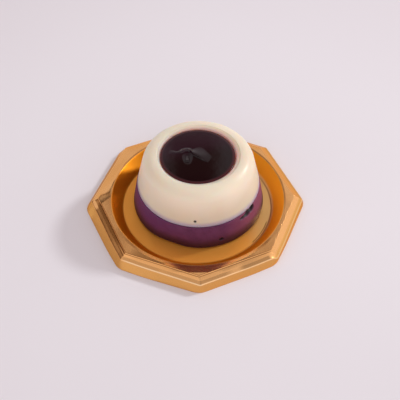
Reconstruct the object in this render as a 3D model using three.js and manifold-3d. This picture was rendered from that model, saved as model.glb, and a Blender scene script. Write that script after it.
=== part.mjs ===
// Blueberry cheesecake, single-serve, on its eight-sided gold tray.
//
// A round moulded cake with a purple berry layer below, an ivory cheese layer above and a pool of
// dark jelly in its top, standing in the round well of a thin formed tray.
// Millimetres, +Z up. The origin is on the table, under the middle of the tray's foot.

import * as THREE from 'three';
import { mergeVertices } from 'three/addons/utils/BufferGeometryUtils.js';
import Module from 'manifold-3d';

// ---------------------------------------------------------------- driving dimensions (mm)

const SHEET = 0.5;                    // thickness of the formed tray
const FOOT_R = 58.3;                  // corner radius of the eight-sided foot
const FOLD_R = 56.1;                  // corner radius of the lower fold
const FOLD_Z = 4.9;
const RIM_R = 51.7;                   // corner radius of the step at the end of the flat rim
const RIM_Z = 7.35;                   // level of the flat rim
const LEDGE = 0.3;                    // height of that step
const WELL_R = 45.3;                  // edge of the round well
const WELL_FLOOR_R = 39.15;           // flat floor of the well
const WELL_FILLET = 1.3;              // radius between floor and wall
const FOOT = [0, 0];                  // each ring of the pressed tray has a centre of its own
const FOLD = [1.2, -0.7];
const RIM = [0.7, -1.1];
const WELL = [1.25, -0.7];
const FLOOR = [0.9, -0.7];
const SAG_Z = 2.9;                    // level of the fold on the right, where the edge hangs lower
// the foot's corners, from the left one on through the front, each moved by [x, y]
const FOOT_DRIFT = [[0, -1.6], [0.9, -1.3], [0.8, 0], [-1, -0.8], [0, -0.1], [0, 0], [0, 0], [-0.3, -0.3], [0, -1.6]];

const CAKE_X = 1.7;                   // the cake stands towards the back of the well
const CAKE_Y = 3.75;
const CAKE_FLOOR = 0.8;               // underside of the cake
const BASE_R = 34.5;
const BASE_EDGE = 0.9;                // rounding of the bottom edge
const SEAM_R = 32.2;                  // where purple meets ivory
const SEAM_Z = 14.6;
const SEAM_GAP = 0.3;
const SEAM_STEP = 0.2;                // the ivory layer stands back from the purple one by this
const CHEESE_LEAN = 0.225;            // how far the ivory side leans in, per mm of height
const CHEESE_TOP = 34.3;
const CHEESE_SHOULDER = 7.5;
const BOWL_R = 19.8;                  // lip of the bowl that holds the jelly
const BOWL_Z = 33.45;
const BOWL_DEPTH = 3.2;

const POUR_X = -0.35;                 // the bowl and its jelly are a little off the cake's middle
const JELLY_R = 19.05;
const JELLY_Z = 33.0;                 // level at the rim of the jelly
const JELLY_DOME = 0.6;               // how much the middle stands above the rim
const JELLY_DEPTH = 2.6;

const RAD = Math.PI / 180;

// ---------------------------------------------------------------- helpers

// A smooth step from 0 at a to 1 at b.
function ease(a, b, v) {
  const t = Math.min(Math.max((v - a) / (b - a), 0), 1);
  return t * t * (3 - 2 * t);
}

// Points of an arc in the profile plane, angles in degrees from the +r direction.
function arc(r, z, radius, from, to, steps) {
  const points = [];
  for (let i = 0; i <= steps; i++) {
    const a = (from + (to - from) * i / steps) * RAD;
    points.push([r + radius * Math.cos(a), z + radius * Math.sin(a)]);
  }
  return points;
}

// Distance from centre to edge of an octagon with one corner on +X and rounded corners.
function octagon(radius, rounding, angle) {
  const half = 22.5 * RAD;
  const flat = radius * Math.cos(half);
  const off = Math.abs(((angle % (2 * half)) + 3 * half) % (2 * half) - half);
  const centre = (flat - rounding) / Math.cos(half);
  const tangent = Math.atan2(rounding * Math.sin(half), centre + rounding * Math.cos(half));
  if (off > tangent) return flat / Math.cos(half - off);
  return centre * Math.cos(off) + Math.sqrt(rounding ** 2 - (centre * Math.sin(off)) ** 2);
}

// Turns a profile of [r, z] round the Z axis. place(vertex, angle, r, z, index) may move each point.
function turned(profile, segments, place) {
  const geometry = new THREE.LatheGeometry(profile.map(p => new THREE.Vector2(p[0], p[1])), segments);
  geometry.rotateX(Math.PI / 2);
  const position = geometry.getAttribute('position');
  const v = new THREE.Vector3();
  for (let i = 0; i <= segments; i++) {
    for (let j = 0; j < profile.length; j++) {
      const n = i * profile.length + j;
      v.fromBufferAttribute(position, n);
      if (i === segments) v.fromBufferAttribute(position, j);
      else if (place) place(v, Math.atan2(v.y, v.x), profile[j][0], profile[j][1], j);
      position.setXYZ(n, v.x, v.y, v.z);
    }
  }
  return welded(geometry);
}

// One closed skin: equal points joined, triangles without area dropped.
function welded(geometry) {
  geometry.deleteAttribute('normal');
  geometry.deleteAttribute('uv');
  const merged = mergeVertices(geometry, 1e-4);
  const index = merged.getIndex().array;
  const kept = [];
  for (let i = 0; i < index.length; i += 3) {
    const [a, b, c] = [index[i], index[i + 1], index[i + 2]];
    if (a !== b && b !== c && c !== a) kept.push(a, b, c);
  }
  merged.setIndex(kept);
  merged.computeVertexNormals();
  return merged;
}

const wasm = await Module();
wasm.setup();

function toManifold(geometry) {
  return new wasm.Manifold(new wasm.Mesh({
    numProp: 3,
    vertProperties: new Float32Array(geometry.getAttribute('position').array),
    triVerts: new Uint32Array(geometry.getIndex().array),
  }));
}

function fromManifold(manifold) {
  const mesh = manifold.getMesh();
  const geometry = new THREE.BufferGeometry();
  geometry.setAttribute('position', new THREE.BufferAttribute(new Float32Array(mesh.vertProperties), 3));
  geometry.setIndex(new THREE.BufferAttribute(new Uint32Array(mesh.triVerts), 1));
  geometry.computeVertexNormals();
  return geometry;
}

// Half width of the cake's side at height z.
function sideRadius(z) {
  const lean = (BASE_R - SEAM_R) / (SEAM_Z - CAKE_FLOOR - BASE_EDGE);
  return z < SEAM_Z ? SEAM_R + (SEAM_Z - z) * lean : SEAM_R - SEAM_STEP - (z - SEAM_Z) * CHEESE_LEAN;
}

// An air bubble that opens at the cake's side: an egg shape, wide x tall x deep, at an angle and height.
function bubble({ angle, z, wide, tall, deep, sink = 0 }) {
  const geometry = new THREE.IcosahedronGeometry(1, 2);
  geometry.scale(deep, wide / 2, tall / 2);
  geometry.translate(sideRadius(z) - sink, 0, z);
  geometry.rotateZ(angle * RAD);
  return toManifold(welded(geometry));
}

function withBubbles(geometry, bubbles) {
  return fromManifold(bubbles.reduce((body, b) => body.subtract(bubble(b)), toManifold(geometry)));
}

function piece(name, geometry, x, y, colour, roughness, metalness) {
  const mesh = new THREE.Mesh(geometry, new THREE.MeshStandardMaterial({ color: colour, roughness, metalness }));
  mesh.name = name;
  mesh.position.set(x, y, 0);
  return mesh;
}

// ---------------------------------------------------------------- tray

// The tray is one thin sheet: an eight-sided skirt on the table, a fold, a hollow band, a small step,
// a flat rim and a round well. Each profile row is [r, z, corner rounding or 0 for round, centre].
// From the front right corner round the back to the left one there is no step. On the right the band
// falls straight to a lower fold; at the back the rim banks down to the fold in one slope.
function trayGeometry() {
  const slope = Math.atan2(RIM_Z - SHEET, WELL_R - WELL_FLOOR_R);
  const tuck = WELL_FILLET * Math.tan(slope / 2);
  const filletR = WELL_FLOOR_R - tuck;
  const row = (centre, rounding, points) => points.map(([r, z]) => [r, z, rounding, centre]);
  const top = [
    ...row(FLOOR, 0, [[0, SHEET], ...arc(filletR, SHEET + WELL_FILLET, WELL_FILLET, -90, slope / RAD - 90, 4)]),
    ...row(WELL, 0, [[WELL_R - 0.25, RIM_Z - 0.25], [WELL_R + 0.15, RIM_Z], [WELL_R + 1.2, RIM_Z]]),
    ...row(RIM, 0.9, [[RIM_R - 0.1, RIM_Z], [RIM_R, RIM_Z - LEDGE], [RIM_R + 1, RIM_Z - LEDGE - 0.85]]),
    ...row(FOLD, 1.5, [[FOLD_R - 2, RIM_Z - 1.85], [FOLD_R - 0.9, FOLD_Z + 0.12], [FOLD_R - 0.3, FOLD_Z]]),
    ...row(FOLD, 1.8, [[FOLD_R, FOLD_Z - 0.25]]),
  ];
  const under = [
    ...row(FOOT, 7.5, [[FOOT_R - SHEET * 1.2, 0]]),
    ...row(FOLD, 1.4, [[FOLD_R - 0.4, FOLD_Z - 0.5]]),
    ...row(RIM, 1, [[RIM_R + 0.4, RIM_Z - LEDGE - SHEET], [RIM_R - 0.5, RIM_Z - SHEET]]),
    ...row(WELL, 0, [[WELL_R + 1.2, RIM_Z - SHEET],
      [WELL_R + SHEET * Math.sin(slope), RIM_Z - SHEET * Math.cos(slope) - 0.1]]),
    ...row(FLOOR, 0, [[WELL_FLOOR_R + 0.9, SHEET + 0.2], [WELL_FLOOR_R, 0], [0, 0]]),
  ];
  const foot = row(FOOT, 8, [[FOOT_R, 0]]);
  const rows = [...top, ...foot, ...under].reverse();
  const isUnder = rows.map((_, j) => j < under.length);
  const bankFrom = WELL_R + 0.7;
  const bankTo = (FOLD_R - 0.3) * Math.cos(22.5 * RAD);
  return turned(rows, 96, (v, angle, r, z, j) => {
    const [, , rounding, [cx, cy]] = rows[j];
    const a = angle - 0.6 * Math.sin(8 * angle) / 8;      // more points near the corners
    const degrees = a / RAD;
    let reach = rounding ? octagon(r, rounding, a) : r;
    const corners = 0.7 * (Math.exp(-(((degrees + 45) / 9) ** 2)) + Math.exp(-(((degrees + 135) / 9) ** 2)));
    if (rounding > 4) reach -= corners;
    else if (rounding > 1.2) reach -= 0.3 * Math.exp(-((degrees / 48) ** 4)) + 0.7 * corners;
    v.set(reach * Math.cos(a) + cx, reach * Math.sin(a) + cy, z);
    const k = Math.min(Math.floor((degrees + 180) / 45), 7);
    const side = (k * 45 - 157.5) * RAD;
    if (rounding > 4) {
      const t = (Math.tan(a - side) / Math.tan(22.5 * RAD) + 1) / 2;
      v.x += FOOT_DRIFT[k][0] * (1 - t) + FOOT_DRIFT[k + 1][0] * t;
      v.y += FOOT_DRIFT[k][1] * (1 - t) + FOOT_DRIFT[k + 1][1] * t;
    }
    if (r < bankFrom || z < 4.2) return;
    const down = isUnder[j] ? SHEET : 0;
    const out = (v.x - WELL[0]) * Math.cos(side) + (v.y - WELL[1]) * Math.sin(side);
    const foldZ = SAG_Z + (FOLD_Z - SAG_Z) * ease(45, 90, degrees);
    const sag = ease(-49, -43, degrees) * (1 - ease(-8, 8, degrees));
    const bank = ease(-8, 8, degrees) * (1 - ease(173, 179, degrees));
    const sagged = (rounding > 1.2 ? SAG_Z + FOLD_R - r : RIM_Z - Math.max(r - RIM_R, 0)) - down;
    const banked = (rounding > 1.7 ? foldZ - 0.25
      : RIM_Z - (RIM_Z - foldZ) * Math.max(out - bankFrom, 0) / (bankTo - bankFrom)) - down;
    v.z = z * (1 - sag - bank) + sagged * sag + banked * bank;
  });
}

// ---------------------------------------------------------------- cake layers

// Lower layer of berry mousse: draught side, rounded bottom edge, flat top under the ivory layer.
function berryGeometry() {
  const top = SEAM_Z - SEAM_GAP / 2;
  return turned([
    [0, CAKE_FLOOR],
    ...arc(BASE_R - BASE_EDGE, CAKE_FLOOR + BASE_EDGE, BASE_EDGE, -90, 8, 4),
    [sideRadius(9), 9],
    [sideRadius(top), top],
    [0, top],
  ], 96, (v, angle, r, z) => {
    // the foot of the side is a little in at the front left
    const dent = 1 * Math.exp(-(((angle / RAD + 115) / 14) ** 2)) * (1 - ease(2, 10, z));
    if (r > 1) { v.x *= 1 - dent / r; v.y *= 1 - dent / r; }
  });
}

// Upper cheese layer: leaning side, rounded shoulder and a shallow bowl for the jelly.
function cheeseGeometry() {
  const lean = Math.atan(CHEESE_LEAN);
  const arcZ = CHEESE_TOP - CHEESE_SHOULDER;
  const arcR = sideRadius(arcZ) - CHEESE_SHOULDER * (1 / Math.cos(lean));
  const bottom = SEAM_Z + SEAM_GAP / 2;
  const lip = 1.6;
  return turned([
    [0, bottom],
    [sideRadius(bottom), bottom],
    [sideRadius(20), 20],
    ...arc(arcR, arcZ, CHEESE_SHOULDER, lean / RAD, 90, 9),
    [BOWL_R + lip, CHEESE_TOP - 0.12],
    [BOWL_R + lip / 2, BOWL_Z + 0.45],
    [BOWL_R, BOWL_Z],
    [BOWL_R - 0.25, BOWL_Z - 0.7],
    [BOWL_R - 1.6, BOWL_Z - BOWL_DEPTH + 0.5],
    [BOWL_R - 3.2, BOWL_Z - BOWL_DEPTH],
    [0, BOWL_Z - BOWL_DEPTH],
  ], 72, (v, angle, r, z) => { if (z > 29 && r < BOWL_R + 0.1) v.x += POUR_X; });
}

// ---------------------------------------------------------------- jelly

// Height of the curl left in the middle of the jelly, at x, y from the jelly's centre.
// A crest runs over an arch and on along a straight sharp edge. It drops at once in front and slopes
// off gently behind, as a broad tongue at the right. In the hollow under the arch lies a small tip.
function curl(x, y) {
  const along = (x + 3.3) * 0.79 - (y - 0.9) * 0.613;           // along the straight edge
  const straight = ease(-4.2, -2.2, x);
  const around = Math.atan2(y + 0.1, x + 5.4) / RAD;
  const ends = ease(-10, 30, around) * (1 - ease(140, 182, around));
  const arch = Math.min(Math.hypot(x + 5.4, y + 0.1), 6) - 3.1 - 4 * (1 - ends);
  const behind = arch + ((x + 3.3) * 0.613 + (y - 0.9) * 0.79 - arch) * straight;
  const tongue = (1 - (1 - ease(-1.8, -0.4, along)) * ease(1.2, 2.6, behind)) * (1 - ease(5, 10.5, along));
  const mask = ends + (tongue - ends) * straight;
  const fall = 2.4 + (5.4 - 0.3 * along) * straight;
  const crest = (0.85 + 0.35 * straight) * ease(-0.35, 0.2, behind) * (1 - ease(0.1, fall, behind)) * mask;
  const hy = y + 0.9;
  const hollow = -0.5 * (1 - ease(0.4, 2.9, Math.hypot(x + 5.2, hy * (hy < 0 ? 0.45 : 1))));
  const taper = 1.5 * Math.sqrt(Math.min(Math.max((0.9 - y) / 5, 0), 1));
  const tip = 0.9 * Math.min(Math.max((0.6 - y) / 4.6, 0), 1) * ease(-4.9, -4.2, y) *
    (1 - ease(0.5, 1, Math.abs(x + 5.3) / Math.max(taper, 0.05)));
  return crest + hollow + tip;
}

// A shallow disc, a little domed, with a rounded edge that fills the bowl in the cheese.
function jellyGeometry() {
  const rings = 22;
  const rows = [[0, JELLY_Z - JELLY_DEPTH], [JELLY_R - 2.8, JELLY_Z - JELLY_DEPTH],
    [JELLY_R - 1.4, JELLY_Z - JELLY_DEPTH + 0.6], [JELLY_R - 0.1, JELLY_Z - 0.5], [JELLY_R, JELLY_Z]];
  const edge = rows.length;
  for (let k = rings - 1; k >= 0; k--) {
    const r = (JELLY_R - 0.4) * (k / (rings - 1)) ** 0.85;
    rows.push([r, JELLY_Z + JELLY_DOME * (1 - (r / JELLY_R) ** 2) + 0.25 * ease(JELLY_R, JELLY_R - 1.5, r)]);
  }
  return turned(rows, 60, (v, angle, r, z, j) => {
    if (j >= edge) v.z = z + curl(v.x, v.y) * (1 - ease(12, 15, r));
  });
}

// ---------------------------------------------------------------- the whole thing

const cake = new THREE.Group();
cake.add(piece('tray', trayGeometry(), 0, 0, 0xd2924a, 0.38, 1));
cake.add(piece('berry_layer', withBubbles(berryGeometry(), [
  { angle: -71.1, z: 5.2, wide: 2.6, tall: 1.8, deep: 1.5 },
  { angle: -34.5, z: 12.9, wide: 4.4, tall: 2.8, deep: 2.4 },
  { angle: -41, z: 12.7, wide: 4.6, tall: 2.4, deep: 1.6 },
  { angle: -47.3, z: 11.9, wide: 3.4, tall: 1.8, deep: 1.2 },
]), CAKE_X, CAKE_Y, 0x6b3350, 0.35, 0));
cake.add(piece('cheese_layer', withBubbles(cheeseGeometry(), [
  { angle: -94.4, z: 18.1, wide: 1.5, tall: 1.4, deep: 0.8 },
]), CAKE_X, CAKE_Y, 0xead9c2, 0.3, 0));
cake.add(piece('jelly', jellyGeometry(), CAKE_X + POUR_X, CAKE_Y, 0x2a1018, 0.1, 0));

export default cake;
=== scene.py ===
# Looks of the blueberry cheesecake on its eight-sided gold tray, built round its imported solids.

import math
import bpy
import numpy as np
from mathutils import Matrix, Vector


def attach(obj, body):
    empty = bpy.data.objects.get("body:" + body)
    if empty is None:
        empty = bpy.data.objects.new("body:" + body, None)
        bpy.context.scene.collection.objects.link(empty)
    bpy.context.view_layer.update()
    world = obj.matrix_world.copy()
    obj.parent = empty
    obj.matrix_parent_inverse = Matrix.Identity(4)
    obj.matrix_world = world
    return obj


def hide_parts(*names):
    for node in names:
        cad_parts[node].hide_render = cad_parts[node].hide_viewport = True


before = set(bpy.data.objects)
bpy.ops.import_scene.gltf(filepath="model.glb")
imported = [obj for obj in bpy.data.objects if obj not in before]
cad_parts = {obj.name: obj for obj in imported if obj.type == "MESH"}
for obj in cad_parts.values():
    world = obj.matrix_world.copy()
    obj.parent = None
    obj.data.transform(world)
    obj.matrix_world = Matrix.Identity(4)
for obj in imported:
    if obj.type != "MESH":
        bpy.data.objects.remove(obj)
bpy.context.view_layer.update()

# ---------------------------------------------------------------- the table and the light
# A pale pinkish table that runs out of view, seen from above the front of the cake. One round lamp
# stands at the right, a little behind the cake, in a bright room that is dimmer overhead.

MM = 0.001


class Wire:
    """One output in a node tree. + - * / and ** on wires add Math nodes."""

    def __init__(self, tree, socket):
        self.tree, self.socket = tree, socket

    def math(self, operation, *others, clamp=False):
        """One Math node on this wire and the others; clamp keeps its result within 0 and 1."""
        return self.tree.node("ShaderNodeMath", {"operation": operation, "use_clamp": clamp},
                              dict(enumerate((self, *others))))

    def __add__(self, other):
        return self.math("ADD", other)

    def __radd__(self, other):
        return self.math("ADD", other)

    def __sub__(self, other):
        return self.math("SUBTRACT", other)

    def __rsub__(self, other):
        return self.tree.number(other).math("SUBTRACT", self)

    def __mul__(self, other):
        return self.math("MULTIPLY", other)

    def __rmul__(self, other):
        return self.math("MULTIPLY", other)

    def __truediv__(self, other):
        return self.math("DIVIDE", other)

    def __pow__(self, other):
        return self.math("POWER", other)

    def __neg__(self):
        return self.math("MULTIPLY", -1.0)

    def step(self, low, high):
        """Smooth step: 0 below low, 1 above high, falling where low is above high."""
        settings = {"interpolation_type": "SMOOTHSTEP"}
        if low < high:
            ends = {1: low, 2: high, 3: 0.0, 4: 1.0}
        else:
            ends = {1: high, 2: low, 3: 1.0, 4: 0.0}
        return self.tree.node("ShaderNodeMapRange", settings, {"Value": self, **ends})


class Tree:
    """A node tree and the one way to add nodes to it."""

    def __init__(self, owner):
        owner.use_nodes = True
        self.nodes, self.links = owner.node_tree.nodes, owner.node_tree.links

    def node(self, kind, settings=None, inputs=None, out=0):
        """Adds a node: its settings first, then a value or a link for each input."""
        made = self.nodes.new(kind)
        for name, value in (settings or {}).items():
            setattr(made, name, value)
        for name, value in (inputs or {}).items():
            self.feed(made.inputs[name], value)
        return Wire(self, made.outputs[out])

    def feed(self, socket, value):
        """Links a wire to a socket, or sets the socket to a number or colour."""
        if isinstance(value, Wire):
            self.links.new(value.socket, socket)
        elif isinstance(value, tuple) and len(value) == 3 and socket.type == "RGBA":
            socket.default_value = (*value, 1)
        else:
            socket.default_value = value

    def number(self, value):
        """A wire that carries one number."""
        return self.node("ShaderNodeMath", {"operation": "ADD"}, {0: value, 1: 0.0})

    def mix(self, a, b, factor):
        """Colour a where factor is 0 and b where it is 1."""
        return self.node("ShaderNodeMix", {"data_type": "RGBA"}, {0: factor, 6: a, 7: b}, out=2)

    def axes(self, vector):
        """The three parts of a vector."""
        split = self.node("ShaderNodeSeparateXYZ", None, {0: vector}).socket.node
        return [Wire(self, split.outputs[i]) for i in range(3)]


class Finish(Tree):
    """A material with one Principled shader. Constants sit on the shader's own sockets."""

    def __init__(self, name, **constants):
        self.material = bpy.data.materials.new(name)
        super().__init__(self.material)
        self.shader = next(n for n in self.nodes if n.type == "BSDF_PRINCIPLED")
        self.place = self.node("ShaderNodeTexCoord", out=3)
        for socket, value in constants.items():
            self.feed(self.shader.inputs[socket.replace("_", " ")], value)

    def noise(self, scale, detail=2.0, roughness=0.5):
        """Noise round 0.5; scale counts its blobs in each metre."""
        return self.node("ShaderNodeTexNoise", None, {
            "Vector": self.place, "Scale": scale, "Detail": detail, "Roughness": roughness})

    def bump(self, height, distance):
        """Normal of a relief: height counts in units of distance, in metres."""
        return self.node("ShaderNodeBump", None, {"Height": height, "Distance": distance, "Strength": 1.0})

    def attribute(self, name):
        """The number that tag() gave each point of the mesh."""
        return self.node("ShaderNodeAttribute", {"attribute_name": name}, out=2)

    def paint(self, **wires):
        """Links wires to the shader's sockets."""
        for socket, wire in wires.items():
            self.feed(self.shader.inputs[socket.replace("_", " ")], wire)


# The table: a flat sheet, 3 m across, its light pink grey a little uneven and, as painted shade, darker far
# away.
TABLE_HALF = 1500
table_finish = Finish("table_top", Roughness=0.65, Specular_IOR_Level=0.2)
cloud = table_finish.noise(9.0, detail=3.0)
x, y, _ = table_finish.axes(table_finish.place)
# painted shade: the table grows darker away from the middle
far = ((x * x + y * y) ** 0.5).step(0.09, 0.30)
near_grey = table_finish.mix((0.855, 0.795, 0.845), (0.875, 0.82, 0.87), cloud)
table_finish.paint(Base_Color=table_finish.mix(near_grey, (0.785, 0.72, 0.765), far))
sheet_x, sheet_y = np.meshgrid([-TABLE_HALF, TABLE_HALF], [-TABLE_HALF, TABLE_HALF])
sheet_points = np.stack([sheet_x, sheet_y, np.zeros_like(sheet_x)], -1).reshape(-1, 3) * MM
table_mesh = bpy.data.meshes.new("table_top")
table_mesh.from_pydata(sheet_points.tolist(), [], [(0, 1, 3, 2)])
table_mesh.materials.append(table_finish.material)
table = bpy.data.objects.new("table_top", table_mesh)
bpy.context.scene.collection.objects.link(table)

# The room, by direction: brighter low behind the viewer and at the right, dimmer overhead and high at
# the front right. Two places are dark and warm: a strip high behind the cake and a patch low at the left.
room = Tree(bpy.data.worlds.new("room"))
bpy.context.scene.world = bpy.data.worlds["room"]


def toward(azimuth, elevation):
    """Unit vector: azimuth from +X towards +Y, elevation above the table, in degrees."""
    a, e = math.radians(azimuth), math.radians(elevation)
    return Vector((math.cos(a) * math.cos(e), math.sin(a) * math.cos(e), math.sin(e)))


facing = room.node("ShaderNodeTexCoord")
side, depth, height = room.axes(facing)


def patch(azimuth, elevation, inner, outer):
    """1 within inner degrees of a direction, 0 beyond outer degrees."""
    near = room.node("ShaderNodeVectorMath", {"operation": "DOT_PRODUCT"},
                     {0: facing, 1: toward(azimuth, elevation)}, out=1)
    return near.step(math.cos(math.radians(outer)), math.cos(math.radians(inner)))


front_low = (1 - height.step(0.30, 0.50)) * (-depth).step(0.3, 0.6)
strip = (1 - side.math("ABSOLUTE").step(0.05, 0.12)) * depth.step(0.25, 0.5) * height.step(0.50, 0.75)
left_dark = patch(160, 22, 12, 26)
right_light, right_dark = patch(0, 15, 20, 50), patch(-35, 61, 8, 24)
warm = 0.8 * strip.math("MAXIMUM", left_dark)
level = 0.82 - 0.10 * depth.step(0.05, 0.45) - 0.25 * height.step(0.77, 0.90) - 0.55 * strip
level = level + 0.35 * front_low + 0.15 * right_light - 0.6 * left_dark - 0.2 * right_dark
background = next(n for n in room.nodes if n.type == "BACKGROUND")
room.feed(background.inputs["Color"], room.mix((1.0, 0.955, 0.955), (1.0, 0.66, 0.42), warm))
room.feed(background.inputs["Strength"], level)

# The lamp: a round one, 20 cm across and 2 m away.
LAMP_AZIMUTH, LAMP_HEIGHT, LAMP_AWAY = 24, 32.5, 2.0
key = bpy.data.lights.new("key_lamp", "AREA")
key.shape, key.size, key.energy = "DISK", 0.20, 17.0
key.color = (0.95, 1.0, 1.0)
key_lamp = bpy.data.objects.new("key_lamp", key)
bpy.context.scene.collection.objects.link(key_lamp)
key_lamp.location = toward(LAMP_AZIMUTH, LAMP_HEIGHT) * LAMP_AWAY
key_lamp.rotation_euler = toward(LAMP_AZIMUTH, LAMP_HEIGHT).to_track_quat("Z", "Y").to_euler()

# The camera looks down 48.8 degrees from 453 mm away. aim is the pixel at which the origin shows.
LENS_PX, AWAY, LOOK_DOWN, TURN, ROLL = 847.8, 452.9, 48.81, -0.92, 0.36
AIM = (195.42, 204.34)
FRAME_PX = 400
down, turn, roll = (math.radians(v) for v in (LOOK_DOWN, TURN, ROLL))
pan = math.atan((AIM[0] - FRAME_PX / 2) / LENS_PX)
tilt = math.atan((AIM[1] - FRAME_PX / 2) / LENS_PX * math.cos(pan))
eye = Matrix.Rotation(turn, 4, "Z") @ Matrix.Rotation(math.pi / 2 - down, 4, "X")
eye = eye @ Matrix.Translation((0, 0, AWAY * MM))
eye = eye @ Matrix.Rotation(-roll, 4, "Z") @ Matrix.Rotation(tilt, 4, "X") @ Matrix.Rotation(pan, 4, "Y")
lens = bpy.data.cameras.new("camera")
lens.sensor_width, lens.lens, lens.clip_start = 36.0, LENS_PX / FRAME_PX * 36.0, 0.01
camera = bpy.data.objects.new("camera", lens)
camera.matrix_world = eye
bpy.context.scene.collection.objects.link(camera)
bpy.context.scene.camera = camera
bpy.context.scene.view_settings.view_transform = "Standard"

# ---------------------------------------------------------------- tray
# The tray is one sheet of gold metallised plastic, pressed over a mould: an eight-sided skirt, a
# fold, a sloping band, a small step, a flat rim and a round well that holds the cake. Its back sides
# bank in one slope, and its right side sags to a lower fold.

SHEET = 0.5
FOOT_R = 58.29
FOLD_R, FOLD_Z = 56.1, 4.9
RIM_R, RIM_Z, LEDGE = 51.7, 7.35, 0.3
WELL_R, WELL_FLOOR_R, WELL_FILLET = 45.3, 39.15, 1.3
SAG_Z = 2.9
FOOT, FOLD, RIM = np.array([0, 0]), np.array([1.2, -0.7]), np.array([0.7, -1.1])
WELL, FLOOR = np.array([1.25, -0.7]), np.array([0.9, -0.7])
# the foot's corners, from the left one on through the front, each moved by x, y
FOOT_DRIFT = np.array([[0, -1.6], [0.9, -1.3], [0.8, 0], [-1, -0.8], [0, -0.1],
                       [0, 0], [0, 0], [-0.3, -0.3], [0, -1.6]])
CREASE_R = 38.3


def ease(low, high, v):
    """Smooth step from 0 at low to 1 at high: t^2 (3 - 2t)."""
    t = np.clip((v - low) / (high - low), 0, 1)
    return t * t * (3 - 2 * t)


def arc(r, z, radius, start, stop, steps):
    """Profile points r + radius cos a, z + radius sin a, for a from start to stop degrees."""
    a = np.radians(np.linspace(start, stop, steps + 1))
    return np.stack([r + radius * np.cos(a), z + radius * np.sin(a)], -1)


def eased(points, cut=0.35, steps=6):
    """Profile with each inner corner replaced by a parabola that starts cut before the corner and
    ends cut after it, or a third of the shorter side where that is less, and a point on either
    side that keeps the flat parts flat."""
    points = np.asarray(points, float)
    out = [points[:1]]
    for before, corner, after in zip(points[:-2], points[1:-1], points[2:]):
        a, b = before[:2] - corner[:2], after[:2] - corner[:2]
        reach = min(cut, np.hypot(*a) / 3, np.hypot(*b) / 3)
        start = (before - corner) * reach / np.hypot(*a)
        stop = (after - corner) * reach / np.hypot(*b)
        t = np.linspace(0, 1, steps + 1)[:, None]
        bend = (1 - t) ** 2 * start + t ** 2 * stop
        out += [corner + 1.3 * start[None], corner + bend, corner + 1.3 * stop[None]]
    out.append(points[-1:])
    return np.concatenate(out)


def octagon(radius, rounding, angle):
    """Distance from the middle to the edge of an octagon with a corner on +X: the straight side
    is flat / cos(half - off), and within the tangent angle of a corner it is the corner's circle."""
    half = math.pi / 8
    flat = radius * math.cos(half)
    off = np.abs((angle + half) % (2 * half) - half)
    middle = (flat - rounding) / math.cos(half)
    tangent = np.arctan2(rounding * math.sin(half), middle + rounding * math.cos(half))
    round_part = middle * np.cos(off) + np.sqrt(np.maximum(rounding ** 2 - (middle * np.sin(off)) ** 2, 0))
    return np.where(off > tangent, flat / np.cos(half - off), round_part)


def placed(points, rounding, centre=WELL):
    """Adds to each profile point its corner rounding, 0 where the ring is round, and its centre."""
    points = np.asarray(points, float)
    return np.column_stack([points, np.full(len(points), rounding), np.tile(centre, (len(points), 1))])


def surface(name, points, material):
    """Mesh of a grid of points, rows by columns: columns close on themselves, and the first and
    last rows are single points. The first row's side is seen with its columns turning clockwise
    as rows go on."""
    rows, columns = points.shape[:2]
    places = np.vstack([points[:1, 0], points[1:-1].reshape(-1, 3), points[-1:, 0]])
    ring = np.arange((rows - 2) * columns).reshape(-1, columns) + 1
    after = np.roll(ring, -1, 1)
    faces = np.stack([ring[:-1], ring[1:], after[1:], after[:-1]], -1).reshape(-1, 4).tolist()
    faces += np.stack([np.zeros(columns, int), ring[0], after[0]], -1).tolist()
    faces += np.stack([np.full(columns, len(places) - 1), after[-1], ring[-1]], -1).tolist()
    mesh = bpy.data.meshes.new(name)
    mesh.from_pydata((places * MM).tolist(), [], faces)
    mesh.shade_smooth()
    mesh.materials.append(material)
    made = bpy.data.objects.new(name, mesh)
    bpy.context.scene.collection.objects.link(made)
    return made


def tag(made, name, values):
    """Gives each point of a surface its value of a rows by columns array."""
    made.data.attributes.new(name, "FLOAT", "POINT")
    flat = np.concatenate([values[:1, 0], values[1:-1].ravel(), values[-1:, 0]])
    made.data.attributes[name].data.foreach_set("value", flat.astype(np.float32))


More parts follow.
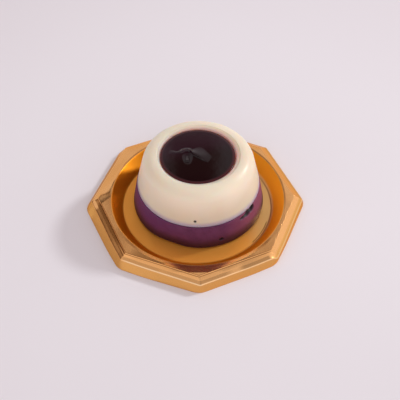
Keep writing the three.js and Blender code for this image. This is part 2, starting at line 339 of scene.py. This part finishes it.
wall_slope = math.atan2(RIM_Z - SHEET, WELL_R - WELL_FLOOR_R)
tuck = WELL_FILLET * math.tan(wall_slope / 2)
upper = np.vstack([
    placed([[r, SHEET] for r in (0, 12, 24, 32, 36, 37.6, 37.9, 38.1, CREASE_R, 38.5)], 0, FLOOR),
    placed(arc(WELL_FLOOR_R - tuck, SHEET + WELL_FILLET, WELL_FILLET,
               -90, math.degrees(wall_slope) - 90, 8), 0, FLOOR),
    placed(eased([[WELL_FLOOR_R + tuck, SHEET + 1.02 * tuck], [WELL_R, RIM_Z], [WELL_R + 1.0, RIM_Z],
                  [WELL_R + 1.2, RIM_Z]], cut=0.4)[1:], 0),
])
edge = eased(np.vstack([
    placed([[RIM_R - 0.6, RIM_Z], [RIM_R - 0.35, RIM_Z]], 0.8, RIM),
    placed([[RIM_R - 0.1, RIM_Z]], 0.9, RIM),
    placed([[RIM_R, RIM_Z - LEDGE], [RIM_R + 0.2, RIM_Z - LEDGE - 0.11],
            [RIM_R + 0.45, RIM_Z - LEDGE - 0.26]], 1.0, RIM),
    placed([[FOLD_R - 2.0, RIM_Z - 1.65], [FOLD_R - 0.9, FOLD_Z + 0.32]], 1.4, FOLD),
    placed([[FOLD_R - 0.5, FOLD_Z + 0.14], [FOLD_R - 0.25, FOLD_Z]], 1.6, FOLD),
    placed([[FOLD_R, FOLD_Z - 0.25]], 1.8, FOLD),
    placed([[FOLD_R + 0.12, FOLD_Z - 0.6]], 2.2, FOLD),
    placed([[FOOT_R - 0.05, 0.25]], 7.9, FOOT),
    placed([[FOOT_R, 0]], 8, FOOT),
]), cut=0.15)
under_r, under_z = SHEET * math.sin(wall_slope), SHEET * math.cos(wall_slope)
lower = np.vstack([
    placed([[FOOT_R - SHEET * 1.2, 0]], 7.5, FOOT),
    placed([[FOLD_R - 0.4, FOLD_Z - 0.5]], 1.4, FOLD),
    placed([[RIM_R + 0.4, RIM_Z - LEDGE - SHEET]], 1, RIM),
    placed([[RIM_R - 0.5, RIM_Z - SHEET]], 1, RIM),
    placed([[WELL_R + 1.2, RIM_Z - SHEET], [WELL_R + under_r, RIM_Z - under_z - 0.1]], 0),
    placed([[WELL_FLOOR_R + 0.9, SHEET + 0.2], [WELL_FLOOR_R, 0]], 0, FLOOR),
    placed([[0, 0]], 0, FLOOR),
])
tray_profile = np.vstack([upper, edge, lower])
TRAY_COLUMNS = 384

# The plan: round rings in the well, octagons outside it. Columns stand closer near the corners. The
# two front corners are pushed in, the right part of the band a little, and the foot's corners drift
# along with their sides.
spin = np.linspace(0, 2 * np.pi, TRAY_COLUMNS, endpoint=False)
bunched = spin - 0.7 * np.sin(8 * spin) / 8
ring_r, ring_z, ring_round, ring_x, ring_y = (tray_profile[:, i:i + 1] for i in range(5))
# the rounding of its corners tells where a ring lies
at_foot, below_fold, from_fold, past_step = (ring_round > least for least in (4, 2, 1.7, 1.2))
ring_reach = np.where(ring_round > 0, octagon(ring_r, np.maximum(ring_round, 0.1), bunched),
                      ring_r + 0 * bunched)
degrees_round = np.degrees((bunched + np.pi) % (2 * np.pi) - np.pi)
two_corners = 0.7 * (np.exp(-(((degrees_round + 45) / 9) ** 2))
                     + np.exp(-(((degrees_round + 135) / 9) ** 2)))
pushed_in = 0.3 * np.exp(-((degrees_round / 48) ** 4)) + 0.7 * two_corners
ring_reach = ring_reach - np.where(at_foot, two_corners, np.where(past_step, pushed_in, 0))
ring_across, ring_along = ring_reach * np.cos(bunched) + ring_x, ring_reach * np.sin(bunched) + ring_y
at_side = np.clip(np.floor((degrees_round + 180) / 45), 0, 7).astype(int)
facing_side = np.radians(at_side * 45 - 157.5)
along_side = ((np.tan(np.radians(degrees_round) - facing_side) / math.tan(math.pi / 8) + 1) / 2)[:, None]
drift = FOOT_DRIFT[at_side] * (1 - along_side) + FOOT_DRIFT[at_side + 1] * along_side
ring_across = ring_across + drift[:, 0] * at_foot
ring_along = ring_along + drift[:, 1] * at_foot

# The heights: sag is 1 on the right side and bank is 1 on the back sides, where out counts the way
# from the well straight to the side.
out = (ring_across - WELL[0]) * np.cos(facing_side) + (ring_along - WELL[1]) * np.sin(facing_side)
fold_z = SAG_Z + (FOLD_Z - SAG_Z) * ease(45, 90, degrees_round)
sag = ease(-49, -43, degrees_round) * (1 - ease(-8, 8, degrees_round))
bank = ease(-8, 8, degrees_round) * (1 - ease(173, 179, degrees_round))
down = SHEET * (np.arange(len(ring_r))[:, None] >= len(upper) + len(edge))
sagged = np.where(past_step, SAG_Z + FOLD_R - ring_r, RIM_Z - np.maximum(ring_r - RIM_R, 0)) - down
sagged = np.where(below_fold, SAG_Z + 0.25 + ring_z - FOLD_Z, sagged)
fall = (RIM_Z - fold_z) / ((FOLD_R - 0.3) * math.cos(math.pi / 8) - WELL_R - 0.7)
banked = RIM_Z - fall * np.maximum(out - WELL_R - 0.7, 0)
banked = np.where(from_fold, fold_z + ring_z - FOLD_Z, banked) - down
bends = (ring_r >= WELL_R + 0.7) & (ring_z > 3.8)
ring_height = ring_z + (sagged - ring_z) * sag * bends + (banked - ring_z) * bank * bends
tray_points = np.stack([ring_across, ring_along, ring_height], -1)


def line(centre, width):
    """Bell curve over the rings' radius: exp(-((r - centre) / width)^2)."""
    return np.exp(-(((ring_r - centre) / width) ** 2))


# Painted shade along creases in the sheet, on both edges of the step, at the well's right edge and at the
# right front of its floor, and a painted highlight along the fold, strongest on the front left side,
# fainter from the front corner round to the back, with none on the left side.
above = ~(down > 0)
at_step = (1 - sag - bank) * above * (ring_round > 0.7) * (ring_round < 1.2)
at_edge = ease(-20, 0, degrees_round) * (1 - ease(50, 70, degrees_round))
at_edge = at_edge * (ring_z > 6) * (ring_z < RIM_Z + 0.1)
at_floor = ease(-45, -42, degrees_round) * (1 - ease(-21, -18, degrees_round)) * (ring_z < 1)
painted_crease_shade = (at_step * (line(RIM_R - 0.3, 0.14) + line(RIM_R + 0.35, 0.14))
           + above * (0.8 * at_edge * line(WELL_R + 0.5, 0.35) + 1.2 * at_floor * line(CREASE_R, 0.22)))
# painted highlight along the fold: full on the front left side, fainter from the front corner round to the
# back
painted_fold_sheen = 0.6 * ease(-136, -131, degrees_round) * (1 - 0.4 * ease(-92, -87, degrees_round))
painted_fold_highlight = painted_fold_sheen * above * (ring_round > 1.5) * (ring_round < 2.1) * line(FOLD_R - 0.15, 0.25)

gold = Finish("gold_tray", Specular_Tint=(1.0, 0.72, 0.42))
x, y, z = gold.axes(gold.place)
off_x, off_y = x - float(WELL[0] * MM), y - float(WELL[1] * MM)
from_well = (off_x * off_x + off_y * off_y) ** 0.5
in_well = from_well.step((WELL_R + 0.9) * MM, (WELL_R - 0.3) * MM)
wall_foot = WELL_FLOOR_R + 0.05
on_wall = in_well * from_well.step(wall_foot * MM, (wall_foot + 1.3) * MM)
# at_right paints the well's floor a paler gold at the right, a painted highlight for the brighter light it
# gets there; it also makes that floor fully metallic
at_right = off_x.step(0.022, 0.037)
on_skirt = (1 - in_well) * z.step((FOLD_Z + 0.1) * MM, (FOLD_Z - 0.9) * MM)


def ramp(start, width):
    """0 up to start mm from the well's middle, rising evenly to 1 over width mm."""
    return (from_well - start * MM).math("DIVIDE", width * MM, clamp=True)


# The wall leans up a little all round, least at the back left and most on the right, and the rim
# leans in towards the well at the front.
back_left = (off_y - off_x).step(0.046, 0.057) * off_x.step(0.0, -0.02)
wall_lean = ramp(wall_foot, WELL_R - wall_foot) * (
    3.2 - 2.6 * back_left + 5.4 * off_x.step(-0.02, 0.012))
forward = -off_y / from_well
in_front = forward.step(0.90, 1.0)
near_front = forward.step(0.55, 0.85) * (1 - in_front)
rim_lean = 4.2 * in_front * ramp(WELL_R, 4.7) + 0.7 * near_front * ramp(WELL_R, 1.8)

grain = gold.noise(900.0, detail=3.0)
waves = gold.noise(55.0, detail=1.0)
rim_gold = gold.mix((0.90, 0.45, 0.165), (0.94, 0.49, 0.195), waves.step(0.35, 0.65))
# Painted bounce light: the well's floor and wall are a deeper orange than the rim, standing in for light
# bounced between the gold faces.
floor_gold = gold.mix((0.98, 0.42, 0.07), (1.0, 0.60, 0.23), at_right)
well_gold = gold.mix(floor_gold, (1.0, 0.34, 0.02), on_wall)
outer_gold = gold.mix(rim_gold, (0.80, 0.41, 0.12), on_skirt)
# painted highlight: pale gold along the fold
outer_gold = gold.mix(outer_gold, (1.0, 0.82, 0.55), gold.attribute("fold_highlight"))
all_gold = gold.mix(outer_gold, well_gold, in_well)
gold.paint(
    # painted shade: dark brown along the creases
    Base_Color=gold.mix(all_gold, (0.32, 0.11, 0.02), 0.95 * gold.attribute("crease_shade")),
    Metallic=1.0 - 0.5 * in_well * (1 - at_right) * (1 - on_wall),
    Roughness=0.17 + 0.06 * grain + 0.15 * in_well + 0.10 * on_wall,
    Normal=gold.bump(waves + grain * 0.03 - wall_lean + rim_lean, 0.0004))
tray = surface("gold_tray_sheet", tray_points, gold.material)
tag(tray, "crease_shade", painted_crease_shade)
tag(tray, "fold_highlight", painted_fold_highlight)
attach(tray, "root")
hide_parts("tray")

# ---------------------------------------------------------------- berry layer
# The lower layer is set blueberry mousse, turned out of a slightly tapered mould. A few air bubbles
# opened at its side, the largest right under the ivory layer, and its foot is flatter at the front left.

CAKE = np.array([1.7, 3.75])
CAKE_FLOOR, BASE_R, BASE_EDGE = 0.8, 34.5, 0.9
SEAM_R, SEAM_Z, SEAM_GAP = 32.2, 14.6, 0.3
CHEESE_LEAN, SEAM_STEP = 0.225, 0.2
BERRY_LEAN = (BASE_R - SEAM_R) / (SEAM_Z - CAKE_FLOOR - BASE_EDGE)
FLAT_AT, FLAT_WIDTH, FLAT_DEEP = -115, 14, 1.0
# angle, height, width, height of the opening and depth of each bubble
BERRY_BUBBLES = [(-71.1, 5.2, 2.6, 1.9, 1.6), (-34.5, 12.9, 5.2, 4.2, 2.4),
                 (-41, 12.6, 5.8, 4.0, 2.0), (-47.3, 12.2, 4.6, 2.5, 1.0)]


def side_radius(z):
    """Radius of the cake's side: it leans in by one rate below the seam and by another above."""
    return np.where(z < SEAM_Z, SEAM_R + (SEAM_Z - z) * BERRY_LEAN,
                    SEAM_R - SEAM_STEP - (z - SEAM_Z) * CHEESE_LEAN)


def gathered(centres, width, gain, count):
    """Angles round the circle, closer together near the given centres: the running sum of
    1 + gain x bell curves, cut into equal shares."""
    fine = np.linspace(-np.pi, np.pi, 20001)
    density = np.ones_like(fine)
    for centre in np.radians(centres):
        density += gain * np.exp(-((fine - centre) / math.radians(width)) ** 2)
    share = np.concatenate([[0], np.cumsum((density[1:] + density[:-1]) / 2)])
    return np.interp(np.linspace(0, share[-1], count, endpoint=False), share, fine)


def dented(radius, z, angle, bubbles):
    """Radius less the depth of each bubble: depth x sqrt(1 - u^2 - v^2) inside its opening."""
    for at, height_mm, wide, tall, deep in bubbles:
        u = (angle - math.radians(at)) * side_radius(height_mm) / (wide / 2)
        v = (z - height_mm) / (tall / 2)
        radius = radius - deep * np.sqrt(np.clip(1 - u ** 2 - v ** 2, 0, 1))
    return radius


berry_angles = gathered([b[0] for b in BERRY_BUBBLES], 4.0, 14, 620)
berry_top = SEAM_Z - SEAM_GAP / 2
berry_profile = np.vstack([
    [[0, CAKE_FLOOR]], [[24, CAKE_FLOOR]],
    arc(BASE_R - BASE_EDGE, CAKE_FLOOR + BASE_EDGE, BASE_EDGE, -90, 5, 8),
    [[float(side_radius(z)), z] for z in np.linspace(CAKE_FLOOR + BASE_EDGE + 0.3, berry_top, 80)],
    [[SEAM_R - 0.3, berry_top + 0.02], [SEAM_R - 4, berry_top + 0.02], [0, berry_top + 0.02]],
])
berry_r, berry_z = berry_profile[:, :1], berry_profile[:, 1:]
berry_plain = berry_r + 0 * berry_angles
berry_reach = np.where((berry_z > CAKE_FLOOR + 0.5) & (berry_r > 0),
                       dented(berry_r, berry_z, berry_angles, BERRY_BUBBLES), berry_plain)
# each bubble's depth becomes painted shade in its opening
berry_hollow_shade = np.clip(1.2 * (berry_plain - berry_reach), 0, 1)
flat = FLAT_DEEP * np.exp(-(((np.degrees(berry_angles) - FLAT_AT) / FLAT_WIDTH) ** 2))
berry_reach = berry_reach - (berry_r > 1) * (1 - ease(2, 10, berry_z)) * flat
berry_points = np.stack([berry_reach * np.cos(berry_angles) + CAKE[0],
                         berry_reach * np.sin(berry_angles) + CAKE[1], berry_z + 0 * berry_angles], -1)

mousse = Finish("blueberry_mousse", Roughness=0.5, Subsurface_Weight=0.35, Subsurface_Scale=0.004,
                Subsurface_Radius=(1.0, 0.25, 0.35), Specular_IOR_Level=0.3)
mottle = mousse.noise(170.0, detail=4.0, roughness=0.6)
x, _, z = mousse.axes(mousse.place)
low = z.step(0.0085, 0.002)
purple = mousse.mix((0.098, 0.021, 0.076), (0.136, 0.033, 0.104), mottle.step(0.3, 0.7))
purple = mousse.mix(purple, (0.130, 0.030, 0.125), x.step(-0.004, -0.030))
# painted light: the lit right side is a lighter, redder purple
purple = mousse.mix(purple, (0.23, 0.056, 0.112), x.step(0.012, 0.031))
# painted shade: the mousse turns near black towards its foot
purple = mousse.mix(purple, (0.030, 0.003, 0.010), 0.92 * low)
mousse.paint(
    # painted shade: near black inside the opened bubbles
    Base_Color=mousse.mix(purple, (0.012, 0.002, 0.004), mousse.attribute("hollow")),
    Normal=mousse.bump(mousse.noise(700.0, detail=3.0) + 2 * mottle, 0.0001))
berry_layer = surface("berry_mousse_layer", berry_points, mousse.material)
tag(berry_layer, "hollow", berry_hollow_shade)
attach(berry_layer, "root")
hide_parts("berry_layer")

# ---------------------------------------------------------------- cheese layer
# The upper layer is ivory set cream cheese with a round shoulder and a shallow bowl in its top. It
# took a lilac stain from the berries along the seam, and one small pit shows low in front.

CHEESE_TOP, CHEESE_SHOULDER = 34.3, 7.5
BOWL_R, BOWL_Z, BOWL_DEPTH = 19.8, 33.45, 3.2
POUR = CAKE + (-0.35, 0)
CHEESE_PITS = [(-94.4, 18.1, 1.6, 1.5, 0.8)]

lean = math.atan(CHEESE_LEAN)
shoulder_z = CHEESE_TOP - CHEESE_SHOULDER
shoulder_r = float(side_radius(shoulder_z)) - CHEESE_SHOULDER / math.cos(lean)
cheese_floor = SEAM_Z + SEAM_GAP / 2
inner = eased([[shoulder_r - 0.4, CHEESE_TOP], [BOWL_R + 1.6, CHEESE_TOP - 0.12],
               [BOWL_R + 0.8, BOWL_Z + 0.45], [BOWL_R, BOWL_Z], [BOWL_R - 0.25, BOWL_Z - 0.7],
               [BOWL_R - 1.6, BOWL_Z - BOWL_DEPTH + 0.5],
               [BOWL_R - 3.2, BOWL_Z - BOWL_DEPTH], [0, BOWL_Z - BOWL_DEPTH]], cut=0.5)
side_rows = np.linspace(cheese_floor, shoulder_z + CHEESE_SHOULDER * math.sin(lean) - 0.3, 60)
cheese_profile = np.vstack([
    [[0, cheese_floor]], [[SEAM_R - 3, cheese_floor]], [[SEAM_R - 0.5, cheese_floor]],
    np.stack([side_radius(side_rows), side_rows], -1),
    arc(shoulder_r, shoulder_z, CHEESE_SHOULDER, math.degrees(lean), 90, 24),
    inner,
])
cheese_angles = gathered([p[0] for p in CHEESE_PITS], 2.5, 14, 380)
cheese_r, cheese_z = cheese_profile[:, :1], cheese_profile[:, 1:]
cheese_plain = cheese_r + 0 * cheese_angles
cheese_reach = np.where((cheese_z > cheese_floor) & (cheese_z < 24) & (cheese_r > 26),
                        dented(cheese_r, cheese_z, cheese_angles, CHEESE_PITS), cheese_plain)
cheese_middle = np.where((cheese_z > 29) & (cheese_r < BOWL_R + 0.6), POUR[0], CAKE[0])
cheese_points = np.stack([cheese_reach * np.cos(cheese_angles) + cheese_middle,
                          cheese_reach * np.sin(cheese_angles) + CAKE[1], cheese_z + 0 * cheese_angles], -1)

cream = Finish("cream_cheese", Roughness=0.34, Subsurface_Weight=0.8, Subsurface_Scale=0.010,
               Subsurface_Radius=(1.0, 0.62, 0.40), Specular_IOR_Level=0.35)
x, y, z = cream.axes(cream.place)
ivory = cream.mix((0.875, 0.74, 0.59), (0.895, 0.775, 0.635), cream.noise(60.0, detail=2.0))
out_x, out_y = x - float(CAKE[0] * MM), y - float(CAKE[1] * MM)
from_middle = (out_x * out_x + out_y * out_y) ** 0.5
# painted shade: the ivory is darker low on the side and at the right, but not at the far left
painted_cheese_shade = (z.step(0.030, 0.018) + 0.8 * out_x.step(0.014, 0.030)).math("MINIMUM", 1.0)
by_seam = z.step(0.0182, 0.0150)
by_jelly = from_middle.step(0.0212, 0.0192) * z.step(0.030, 0.032)
ivory = cream.mix(ivory, (0.75, 0.615, 0.465), 0.95 * painted_cheese_shade * out_x.step(-0.032, -0.012))
tinted = cream.mix(ivory, (0.56, 0.38, 0.50), 0.85 * by_seam)
tinted = cream.mix(tinted, (0.66, 0.30, 0.33), 0.6 * by_jelly)
cream.paint(
    # painted shade: near black inside the pit
    Base_Color=cream.mix(tinted, (0.045, 0.035, 0.02), cream.attribute("hollow")),
    Normal=cream.bump(cream.noise(420.0, detail=2.0), 0.00006))
cheese_layer = surface("cream_cheese_layer", cheese_points, cream.material)
tag(cheese_layer, "hollow", np.clip(2 * (cheese_plain - cheese_reach), 0, 1))
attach(cheese_layer, "root")
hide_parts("cheese_layer")

# ---------------------------------------------------------------- jelly
# Dark blueberry jelly, poured level with the top. Where the pour was cut off it left a curl in the
# middle: an arched crest that runs on as a tongue with one sharp edge, and a hollow with a small tip.

JELLY_R, JELLY_Z, JELLY_DOME, JELLY_DEPTH = 19.05, 33.0, 0.6, 2.6

# The curl, from the jelly's middle: the arch's middle and radius, where the tongue's straight edge
# starts, the cosine and sine of its 38 degrees down to the right, and the hollow's and tip's middles.
ARCH_X, ARCH_Y, ARCH_R = -5.4, -0.1, 3.1
EDGE_X, EDGE_Y, EDGE_COS, EDGE_SIN = -3.3, 0.9, 0.79, 0.613
HOLLOW_X, HOLLOW_Y, HOLLOW_DEEP = -5.2, -0.9, 0.5
TIP_X, TIP_HIGH = -5.3, 0.9


def curl(px, py):
    """Height of the curl over the jelly's dome: a crest over an arch and on along a straight edge,
    which drops at once in front and slopes off behind, less the hollow under the arch, plus the
    tip in the hollow."""
    along = (px - EDGE_X) * EDGE_COS - (py - EDGE_Y) * EDGE_SIN
    from_edge = (px - EDGE_X) * EDGE_SIN + (py - EDGE_Y) * EDGE_COS
    straight = ease(-4.2, -2.2, px)
    around = np.degrees(np.arctan2(py - ARCH_Y, px - ARCH_X))
    ends = ease(-10, 30, around) * (1 - ease(140, 182, around))
    from_arch = np.minimum(np.hypot(px - ARCH_X, py - ARCH_Y), 6) - ARCH_R - 4 * (1 - ends)
    behind = from_arch + (from_edge - from_arch) * straight
    tongue = (1 - (1 - ease(-1.8, -0.4, along)) * ease(1.2, 2.6, behind)) * (1 - ease(5, 10.5, along))
    mask = ends + (tongue - ends) * straight
    fall = 2.4 + (5.4 - 0.3 * along) * ease(-4.2, 3, px)
    crest = (0.85 + 0.33 * straight) * ease(-0.35, 0.2, behind) * (1 - ease(0.1, fall, behind)) * mask
    hollow_y = (py - HOLLOW_Y) * np.where(py < HOLLOW_Y, 0.45, 1)
    hollow = HOLLOW_DEEP * (1 - ease(0.4, 2.9, np.hypot(px - HOLLOW_X, hollow_y)))
    taper = np.maximum(1.5 * np.sqrt(np.clip((0.9 - py) / 5, 0, 1)), 0.05)
    tip = (TIP_HIGH * np.clip((0.6 - py) / 4.6, 0, 1) * ease(-4.9, -4.2, py)
           * (1 - ease(0.5, 1, np.abs(px - TIP_X) / taper)))
    return crest - hollow + tip


jelly_angles = np.linspace(-np.pi, np.pi, 300, endpoint=False)
under_jelly = np.array([[0, JELLY_Z - JELLY_DEPTH], [JELLY_R - 2.8, JELLY_Z - JELLY_DEPTH],
                        [JELLY_R - 1.4, JELLY_Z - JELLY_DEPTH + 0.6], [JELLY_R - 0.1, JELLY_Z - 0.5],
                        [JELLY_R, JELLY_Z]])
on_top = (JELLY_R - 0.1) * np.linspace(1, 0, 130) ** 0.9
top_z = JELLY_Z + JELLY_DOME * (1 - (on_top / JELLY_R) ** 2) + 0.25 * ease(0, 1.5, JELLY_R - on_top)
jelly_profile = np.vstack([under_jelly, np.stack([on_top, top_z], -1)])
jelly_r, jelly_z = jelly_profile[:, :1], jelly_profile[:, 1:]
jelly_x, jelly_y = jelly_r * np.cos(jelly_angles), jelly_r * np.sin(jelly_angles)
is_top = np.arange(len(jelly_profile))[:, None] >= len(under_jelly)
lift = np.where(is_top, curl(jelly_x, jelly_y) * (1 - ease(12, 15, jelly_r)), 0)
jelly_points = np.stack([jelly_x + POUR[0], jelly_y + POUR[1], jelly_z + lift], -1)

jam = Finish("blueberry_jelly", Roughness=0.09, IOR=1.36)
x, y, _ = jam.axes(jam.place)
out_x, out_y = x - float(POUR[0] * MM), y - float(POUR[1] * MM)
from_middle = (out_x * out_x + out_y * out_y) ** 0.5
thin = from_middle.step(0.0172, 0.0192)
# painted reflection: the back of the jelly is a lighter purple grey, where it mirrors the room behind
upper = (out_y - 0.3 * out_x).step(-0.004, 0.009)
jelly_with_painted_reflection = jam.mix((0.010, 0.0012, 0.0025), (0.022, 0.004, 0.011), upper)
jam.paint(
    Base_Color=jam.mix(jelly_with_painted_reflection, (0.078, 0.010, 0.014), thin),
    Normal=jam.bump(jam.noise(180.0, detail=2.0), 0.00005))
jelly = surface("berry_jelly_top", jelly_points, jam.material)
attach(jelly, "root")
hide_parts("jelly")
